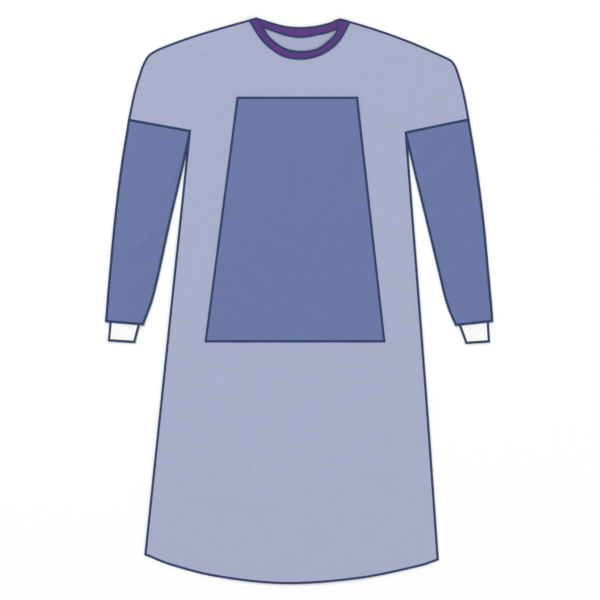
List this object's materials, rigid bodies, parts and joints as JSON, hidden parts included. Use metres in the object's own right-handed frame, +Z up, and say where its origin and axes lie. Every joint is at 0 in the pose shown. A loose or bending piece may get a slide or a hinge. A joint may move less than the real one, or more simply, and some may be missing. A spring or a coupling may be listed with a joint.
{
  "type": "surgical gown",
  "caption": "Long-sleeved surgical gown laid flat on its back, front up, with a darker chest panel and lower sleeves, white knit cuffs and a purple neck binding",
  "frame": {"origin": "middle of the underside, on the surface that the gown lies on", "axes": "+Y from hem to neck, +Z up out of the front of the gown, +X towards the wearer's left sleeve"},
  "size_m": [0.888, 1.298, 0.0094],
  "materials": {
    "body_cloth": "matt non-woven",
    "panel_cloth": "matt laminated non-woven",
    "cuff_knit": "soft rib knit",
    "neck_tape": "matt folded tape"
  },
  "bodies": {
    "root": {"front": "body_cloth", "back_wrap": "body_cloth", "back_under": "body_cloth", "tie_wrap": "body_cloth", "tie_side": "body_cloth", "chest_panel": "panel_cloth", "sleeve_right": "panel_cloth", "sleeve_left": "panel_cloth", "cuff_right": "cuff_knit", "cuff_left": "cuff_knit", "neck_binding_front": "neck_tape", "neck_binding_back": "neck_tape"}
  },
  "joints": []
}
